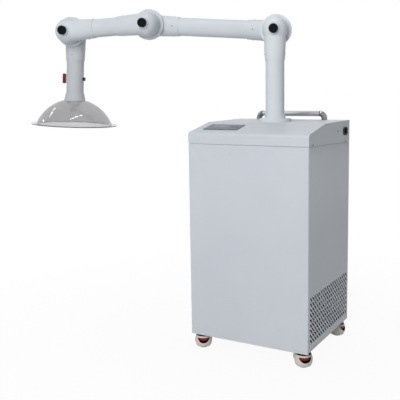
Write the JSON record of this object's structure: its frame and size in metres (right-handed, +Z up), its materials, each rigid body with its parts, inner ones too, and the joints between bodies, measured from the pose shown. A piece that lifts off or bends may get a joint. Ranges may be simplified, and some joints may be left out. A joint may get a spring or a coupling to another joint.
{
  "type": "laboratory fume extractor",
  "caption": "Wheeled sheet-metal cabinet with fan and filters, a jointed extraction arm on top and a clear dome hood that draws fumes in; the air leaves through side grilles.",
  "frame": {"origin": "on the floor under the middle of the cabinet's footprint", "axes": "+X to the cabinet's right, +Y to its rear, +Z up"},
  "size_m": [1.3239, 0.5844, 1.38],
  "materials": {
    "cabinet_paint": "satin",
    "zinc_steel": "satin",
    "stainless": "satin",
    "motor_casting": "satin",
    "fan_aluminium": "satin",
    "filter_fleece": "matte",
    "carbon_media": "matte",
    "display_plastic": "gloss",
    "circuit_board": "satin",
    "black_plastic": "satin",
    "white_plastic": "satin",
    "clear_acrylic": "gloss",
    "red_plastic": "gloss",
    "caster_nylon": "satin",
    "wheel_nylon": "satin",
    "black_rubber": "matte",
    "dark_steel": "satin"
  },
  "bodies": {
    "cabinet": {"base_pan": "zinc_steel", "left_side_panel": "cabinet_paint", "right_side_panel": "cabinet_paint", "rear_panel": "cabinet_paint", "front_panel": "cabinet_paint", "top_cover": "cabinet_paint", "fan_deck": "zinc_steel", "prefilter": "filter_fleece", "hepa_filter": "filter_fleece", "carbon_filter": "carbon_media", "fan_inlet_ring": "fan_aluminium", "motor_bracket": "zinc_steel", "fan_motor": "motor_casting", "control_panel": "display_plastic", "control_board": "circuit_board", "power_inlet": "black_plastic", "push_handle": "stainless", "arm_base_flange": "white_plastic", "caster_plates": "dark_steel"},
    "fan_rotor": {"fan_impeller": "fan_aluminium"},
    "arm_column": {"post_tube": "white_plastic", "elbow1_front_shell": "white_plastic"},
    "upper_arm": {"elbow1_rear_shell": "white_plastic", "upper_arm_tube": "white_plastic", "elbow2_rear_shell": "white_plastic", "upper_arm_tie_rods": "stainless", "upper_arm_seals": "black_rubber"},
    "forearm": {"elbow2_front_shell": "white_plastic", "forearm_tube": "white_plastic", "elbow3_front_shell": "white_plastic"},
    "hood_drop": {"elbow3_rear_shell": "white_plastic", "drop_tube": "white_plastic", "drop_tie_rod": "stainless", "drop_seal": "black_rubber", "hood_collar": "white_plastic", "dome_hood": "clear_acrylic", "lock_screw": "red_plastic"},
    "damper": {"damper_disc": "white_plastic", "damper_shaft": "stainless", "damper_handle": "red_plastic", "damper_nut": "black_plastic"},
    "knob_1": {"elbow1_knob": "black_plastic"},
    "knob_2": {"elbow2_knob": "black_plastic"},
    "knob_3": {"elbow3_knob": "black_plastic"},
    "front_left_caster": {"front_left_caster_housing": "caster_nylon"},
    "front_left_roller": {"front_left_wheel": "wheel_nylon"},
    "front_left_jack": {"front_left_foot": "black_rubber"},
    "front_left_thumb_wheel": {"front_left_dial": "red_plastic"},
    "front_right_caster": {"front_right_caster_housing": "caster_nylon"},
    "front_right_roller": {"front_right_wheel": "wheel_nylon"},
    "front_right_jack": {"front_right_foot": "black_rubber"},
    "front_right_thumb_wheel": {"front_right_dial": "red_plastic"},
    "rear_left_caster": {"rear_left_caster_housing": "caster_nylon"},
    "rear_left_roller": {"rear_left_wheel": "wheel_nylon"},
    "rear_left_jack": {"rear_left_foot": "black_rubber"},
    "rear_left_thumb_wheel": {"rear_left_dial": "red_plastic"},
    "rear_right_caster": {"rear_right_caster_housing": "caster_nylon"},
    "rear_right_roller": {"rear_right_wheel": "wheel_nylon"},
    "rear_right_jack": {"rear_right_foot": "black_rubber"},
    "rear_right_thumb_wheel": {"rear_right_dial": "red_plastic"}
  },
  "joints": [
    {"name": "fan_spin", "type": "hinge", "parent": "cabinet", "child": "fan_rotor", "pos_m": [0, 0, 0.25], "axis": [0, 0, 1], "continuous": true},
    {"name": "arm_swivel", "type": "hinge", "parent": "cabinet", "child": "arm_column", "pos_m": [0, 0.042, 0.912], "axis": [0, 0, 1], "continuous": true},
    {"name": "elbow1_lift", "type": "hinge", "parent": "arm_column", "child": "upper_arm", "pos_m": [-0.01437, 0.0857, 1.278], "axis": [-0.3123, 0.95, 0], "range_deg": [-30, 75]},
    {"name": "elbow2_fold", "type": "hinge", "parent": "upper_arm", "child": "forearm", "pos_m": [-0.51934, -0.08033, 1.31704], "axis": [0.3123, -0.95, 0], "range_deg": [-75, 45]},
    {"name": "elbow3_tilt", "type": "hinge", "parent": "forearm", "child": "hood_drop", "pos_m": [-0.8485, -0.18855, 1.29827], "axis": [-0.3123, 0.95, 0], "range_deg": [-45, 75]},
    {"name": "damper_turn", "type": "hinge", "parent": "hood_drop", "child": "damper", "pos_m": [-0.87347, -0.14834, 1.09858], "axis": [-0.9485, -0.3118, 0.0558], "range_deg": [0, 90]},
    {"name": "knob1_turn", "type": "hinge", "parent": "upper_arm", "child": "knob_1", "pos_m": [-0.01437, 0.0857, 1.278], "axis": [0.3123, -0.95, 0], "range_deg": [0, 180]},
    {"name": "knob2_turn", "type": "hinge", "parent": "upper_arm", "child": "knob_2", "pos_m": [-0.51934, -0.08033, 1.31704], "axis": [0.3123, -0.95, 0], "range_deg": [0, 180]},
    {"name": "knob3_turn", "type": "hinge", "parent": "hood_drop", "child": "knob_3", "pos_m": [-0.8485, -0.18855, 1.29827], "axis": [0.3123, -0.95, 0], "range_deg": [0, 180]},
    {"name": "front_left_swivel", "type": "hinge", "parent": "cabinet", "child": "front_left_caster", "pos_m": [-0.217, -0.186, 0.072], "axis": [0, 0, 1], "continuous": true},
    {"name": "front_left_roll", "type": "hinge", "parent": "front_left_caster", "child": "front_left_roller", "pos_m": [-0.24, -0.14616, 0.02], "axis": [0.866, 0.5, 0], "continuous": true},
    {"name": "front_left_level", "type": "slide", "parent": "front_left_caster", "child": "front_left_jack", "axis": [0, 0, -1], "range_m": [0, 0.01]},
    {"name": "front_left_dial_turn", "type": "hinge", "parent": "front_left_caster", "child": "front_left_thumb_wheel", "pos_m": [-0.217, -0.186, 0.072], "axis": [0, 0, 1], "range_deg": [0, 1440]},
    {"name": "front_right_swivel", "type": "hinge", "parent": "cabinet", "child": "front_right_caster", "pos_m": [0.217, -0.186, 0.072], "axis": [0, 0, 1], "continuous": true},
    {"name": "front_right_roll", "type": "hinge", "parent": "front_right_caster", "child": "front_right_roller", "pos_m": [0.18932, -0.14926, 0.02], "axis": [0.7986, 0.6018, 0], "continuous": true},
    {"name": "front_right_level", "type": "slide", "parent": "front_right_caster", "child": "front_right_jack", "axis": [0, 0, -1], "range_m": [0, 0.01]},
    {"name": "front_right_dial_turn", "type": "hinge", "parent": "front_right_caster", "child": "front_right_thumb_wheel", "pos_m": [0.217, -0.186, 0.072], "axis": [0, 0, 1], "range_deg": [0, 1440]},
    {"name": "rear_left_swivel", "type": "hinge", "parent": "cabinet", "child": "rear_left_caster", "pos_m": [-0.217, 0.191, 0.072], "axis": [0, 0, 1], "continuous": true},
    {"name": "rear_left_roll", "type": "hinge", "parent": "rear_left_caster", "child": "rear_left_roller", "pos_m": [-0.17716, 0.214, 0.02], "axis": [0.5, -0.866, 0], "continuous": true},
    {"name": "rear_left_level", "type": "slide", "parent": "rear_left_caster", "child": "rear_left_jack", "axis": [0, 0, -1], "range_m": [0, 0.01]},
    {"name": "rear_left_dial_turn", "type": "hinge", "parent": "rear_left_caster", "child": "rear_left_thumb_wheel", "pos_m": [-0.217, 0.191, 0.072], "axis": [0, 0, 1], "range_deg": [0, 1440]},
    {"name": "rear_right_swivel", "type": "hinge", "parent": "cabinet", "child": "rear_right_caster", "pos_m": [0.217, 0.191, 0.072], "axis": [0, 0, 1], "continuous": true},
    {"name": "rear_right_roll", "type": "hinge", "parent": "rear_right_caster", "child": "rear_right_roller", "pos_m": [0.17103, 0.1926, 0.02], "axis": [0.0349, 0.9994, 0], "continuous": true},
    {"name": "rear_right_level", "type": "slide", "parent": "rear_right_caster", "child": "rear_right_jack", "axis": [0, 0, -1], "range_m": [0, 0.01]},
    {"name": "rear_right_dial_turn", "type": "hinge", "parent": "rear_right_caster", "child": "rear_right_thumb_wheel", "pos_m": [0.217, 0.191, 0.072], "axis": [0, 0, 1], "range_deg": [0, 1440]}
  ],
  "couplings": [
    {"joint": "front_left_dial_turn", "follows": "front_left_level", "rad_per_m": 2513.3},
    {"joint": "front_right_dial_turn", "follows": "front_right_level", "rad_per_m": 2513.3},
    {"joint": "rear_left_dial_turn", "follows": "rear_left_level", "rad_per_m": 2513.3},
    {"joint": "rear_right_dial_turn", "follows": "rear_right_level", "rad_per_m": 2513.3}
  ]
}
